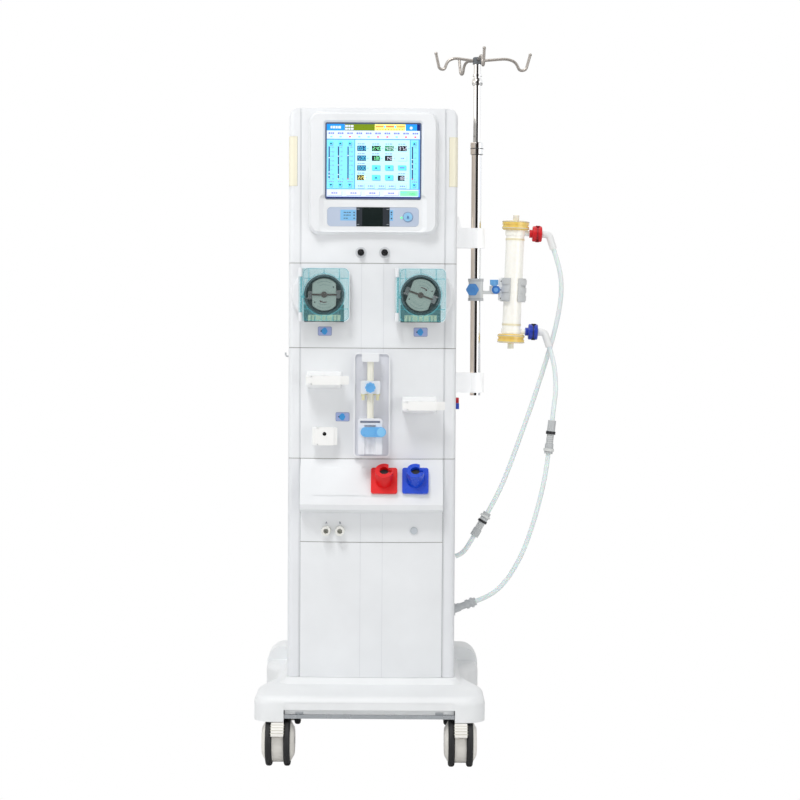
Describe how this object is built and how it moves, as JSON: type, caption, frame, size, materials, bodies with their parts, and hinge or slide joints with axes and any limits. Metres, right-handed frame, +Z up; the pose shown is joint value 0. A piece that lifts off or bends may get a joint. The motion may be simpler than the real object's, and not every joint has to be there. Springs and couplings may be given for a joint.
{
  "type": "dialysis machine",
  "caption": "Upright haemodialysis machine on a wheeled base, with screen, roller pumps, syringe pump, dialyser in a pole holder and fluid hoses.",
  "frame": {"origin": "on the floor, midway between the four caster stems", "axes": "+Z up, +X to the right of someone who faces the machine, +Y towards its back"},
  "size_m": [0.6361, 0.526, 1.4626],
  "materials": {
    "moulded_shell": "moulded, light texture",
    "painted_sheet": "powder coat",
    "frame_paint": "powder coat",
    "display": "glossy screen",
    "key_foil": "printed foil",
    "alarm_key": "glossy key",
    "lamp_lens": "warm white lens",
    "port_plastic": "moulded black, lower ones white",
    "pump_plastic": "moulded",
    "clear_cover": "clear teal moulding",
    "rotor_metal": "anodised",
    "clamp_plastic": "moulded, off-white",
    "syringe_plastic": "moulded",
    "light_blue": "moulded",
    "rinse_plastic": "red moulded, the other one blue",
    "bracket_plastic": "moulded",
    "pole_steel": "polished",
    "hook_steel": "polished wire",
    "holder_plastic": "moulded",
    "case_clear": "clear case over white fibres",
    "cap_plastic": "clear amber moulding",
    "coupling_plastic": "red moulded, the other one blue, white elbows",
    "hose_rubber": "clear silicone hose",
    "connector_plastic": "moulded",
    "fitting_plastic": "moulded",
    "inner_unit": "moulded cases",
    "caster_plastic": "moulded, cream",
    "caster_wheel": "black tyre on a cream hub"
  },
  "bodies": {
    "root": {"base_cover": "moulded_shell", "monitor_housing": "moulded_shell", "pump_panel": "moulded_shell", "module_panel": "moulded_shell", "rinse_panel": "moulded_shell", "front_lower_cover": "moulded_shell", "side_panels": "painted_sheet", "rear_cover": "painted_sheet", "chassis_frame": "frame_paint", "touch_screen": "display", "control_panel": "key_foil", "status_lamps": "lamp_lens", "front_ports": "port_plastic", "pump_left_housing": "pump_plastic", "pump_right_housing": "pump_plastic", "detector_bases": "clamp_plastic", "heparin_plate": "syringe_plastic", "syringe_cradle": "syringe_plastic", "rinse_ports": "rinse_plastic", "pole_brackets": "bracket_plastic", "pole_tube": "pole_steel", "wall_fittings": "fitting_plastic", "internal_units": "inner_unit", "red_hose_lower": "hose_rubber", "red_connector": "connector_plastic"},
    "mute_key": {"mute_button": "alarm_key"},
    "left_pump_cover": {"pump_left_cover": "clear_cover"},
    "right_pump_cover": {"pump_right_cover": "clear_cover"},
    "left_pump_rotor": {"pump_left_rotor": "rotor_metal"},
    "right_pump_rotor": {"pump_right_rotor": "rotor_metal"},
    "air_door": {"air_detector_door": "clamp_plastic"},
    "blood_door": {"blood_detector_door": "clamp_plastic"},
    "optical_door": {"sensor_door": "clamp_plastic"},
    "carriage": {"plunger_carriage": "syringe_plastic"},
    "release_knob": {"carriage_knob": "light_blue"},
    "barrel_lever": {"syringe_lever": "light_blue"},
    "upper_pole": {"pole_rod": "pole_steel"},
    "bag_hooks": {"pole_hooks": "hook_steel"},
    "pole_clamp": {"holder_clamp": "holder_plastic", "red_hose_upper": "hose_rubber", "blue_hose_upper": "hose_rubber", "blue_connector": "connector_plastic", "blue_hose_lower": "hose_rubber"},
    "clamping_knob": {"clamp_knob": "light_blue"},
    "dialyser_group": {"holder_bracket": "holder_plastic", "dialyser_case": "case_clear", "dialyser_caps": "cap_plastic", "hose_couplings": "coupling_plastic"},
    "wing_knob": {"bracket_knob": "light_blue"},
    "opening_jaw": {"holder_jaw": "holder_plastic"},
    "front_left_caster": {"caster_front_left_yoke": "caster_plastic"},
    "front_left_wheels": {"caster_front_left_wheels": "caster_wheel"},
    "left_brake": {"brake_pedal_left": "caster_plastic"},
    "front_right_caster": {"caster_front_right_yoke": "caster_plastic"},
    "front_right_wheels": {"caster_front_right_wheels": "caster_wheel"},
    "right_brake": {"brake_pedal_right": "caster_plastic"},
    "rear_left_caster": {"caster_rear_left_yoke": "caster_plastic"},
    "rear_left_wheels": {"caster_rear_left_wheels": "caster_wheel"},
    "rear_right_caster": {"caster_rear_right_yoke": "caster_plastic"},
    "rear_right_wheels": {"caster_rear_right_wheels": "caster_wheel"}
  },
  "joints": [
    {"name": "mute_key_press", "type": "slide", "parent": "root", "child": "mute_key", "axis": [0, 1, 0], "range_m": [0, 0.0009], "stiffness_N_per_m": 900},
    {"name": "left_pump_cover_hinge", "type": "hinge", "parent": "root", "child": "left_pump_cover", "pos_m": [-0.147, -0.1366, 0.948], "axis": [0, 0, -1], "range_deg": [0, 110]},
    {"name": "left_pump_rotor_spin", "type": "hinge", "parent": "root", "child": "left_pump_rotor", "pos_m": [-0.0985, -0.109, 0.948], "axis": [0, 1, 0], "continuous": true},
    {"name": "right_pump_cover_hinge", "type": "hinge", "parent": "root", "child": "right_pump_cover", "pos_m": [0.05, -0.1366, 0.948], "axis": [0, 0, -1], "range_deg": [0, 110]},
    {"name": "right_pump_rotor_spin", "type": "hinge", "parent": "root", "child": "right_pump_rotor", "pos_m": [0.0985, -0.109, 0.948], "axis": [0, 1, 0], "continuous": true},
    {"name": "air_door_hinge", "type": "hinge", "parent": "root", "child": "air_door", "pos_m": [-0.12825, -0.14715, 0.774], "axis": [0, 0, -1], "range_deg": [0, 100]},
    {"name": "blood_door_hinge", "type": "hinge", "parent": "root", "child": "blood_door", "pos_m": [0.06765, -0.14715, 0.723], "axis": [0, 0, -1], "range_deg": [0, 100]},
    {"name": "optical_door_hinge", "type": "hinge", "parent": "root", "child": "optical_door", "pos_m": [-0.11575, -0.12215, 0.6585], "axis": [0, 0, -1], "range_deg": [0, 100]},
    {"name": "carriage_slide", "type": "slide", "parent": "root", "child": "carriage", "axis": [0, 0, 1], "range_m": [-0.024, 0.036]},
    {"name": "release_knob_turn", "type": "hinge", "parent": "carriage", "child": "release_knob", "pos_m": [-0.0028, -0.155, 0.76], "axis": [0, 1, 0], "range_deg": [0, 90]},
    {"name": "barrel_lever_turn", "type": "hinge", "parent": "root", "child": "barrel_lever", "pos_m": [0.0195, -0.157, 0.67], "axis": [0, 1, 0], "range_deg": [0, 90]},
    {"name": "pole_height", "type": "slide", "parent": "root", "child": "upper_pole", "axis": [0, 0, 1], "range_m": [-0.085, 0.3]},
    {"name": "hooks_swivel", "type": "hinge", "parent": "upper_pole", "child": "bag_hooks", "pos_m": [0.217, 0.035, 1.437], "axis": [0, 0, 1], "continuous": true},
    {"name": "clamp_height", "type": "slide", "parent": "root", "child": "pole_clamp", "axis": [0, 0, 1], "range_m": [-0.08, 0.06], "deforming": ["red_hose_upper", "blue_hose_upper", "blue_hose_lower"]},
    {"name": "clamping_knob_turn", "type": "hinge", "parent": "pole_clamp", "child": "clamping_knob", "pos_m": [0.209, 0.018, 0.962], "axis": [0, 1, 0], "range_deg": [-180, 180]},
    {"name": "holder_swivel", "type": "hinge", "parent": "pole_clamp", "child": "dialyser_group", "pos_m": [0.256, 0.035, 0.962], "axis": [0, 0, 1], "range_deg": [-30, 30], "deforming": ["red_hose_upper", "blue_hose_upper"]},
    {"name": "wing_knob_turn", "type": "hinge", "parent": "dialyser_group", "child": "wing_knob", "pos_m": [0.256, 0.035, 0.972], "axis": [0, 0, 1], "range_deg": [-180, 180]},
    {"name": "jaw_opening", "type": "hinge", "parent": "dialyser_group", "child": "opening_jaw", "pos_m": [0.296, 0.063, 0.962], "axis": [0.0349, 0, 0.9994], "range_deg": [0, 25]},
    {"name": "front_left_swivel", "type": "hinge", "parent": "root", "child": "front_left_caster", "pos_m": [-0.183, -0.2, 0.103], "axis": [0, 0, 1], "continuous": true},
    {"name": "front_left_roll", "type": "hinge", "parent": "front_left_caster", "child": "front_left_wheels", "pos_m": [-0.183, -0.217, 0.05], "axis": [1, 0, 0], "continuous": true},
    {"name": "left_brake_press", "type": "hinge", "parent": "front_left_caster", "child": "left_brake", "pos_m": [-0.183, -0.237, 0.081], "axis": [1, 0, 0], "range_deg": [0, 6], "stiffness_Nm_per_rad": 3},
    {"name": "front_right_swivel", "type": "hinge", "parent": "root", "child": "front_right_caster", "pos_m": [0.183, -0.2, 0.103], "axis": [0, 0, 1], "continuous": true},
    {"name": "front_right_roll", "type": "hinge", "parent": "front_right_caster", "child": "front_right_wheels", "pos_m": [0.183, -0.217, 0.05], "axis": [1, 0, 0], "continuous": true},
    {"name": "right_brake_press", "type": "hinge", "parent": "front_right_caster", "child": "right_brake", "pos_m": [0.183, -0.237, 0.081], "axis": [1, 0, 0], "range_deg": [0, 6], "stiffness_Nm_per_rad": 3},
    {"name": "rear_left_swivel", "type": "hinge", "parent": "root", "child": "rear_left_caster", "pos_m": [-0.183, 0.2, 0.103], "axis": [0, 0, 1], "continuous": true},
    {"name": "rear_left_roll", "type": "hinge", "parent": "rear_left_caster", "child": "rear_left_wheels", "pos_m": [-0.183, 0.183, 0.05], "axis": [1, 0, 0], "continuous": true},
    {"name": "rear_right_swivel", "type": "hinge", "parent": "root", "child": "rear_right_caster", "pos_m": [0.183, 0.2, 0.103], "axis": [0, 0, 1], "continuous": true},
    {"name": "rear_right_roll", "type": "hinge", "parent": "rear_right_caster", "child": "rear_right_wheels", "pos_m": [0.183, 0.183, 0.05], "axis": [1, 0, 0], "continuous": true}
  ]
}
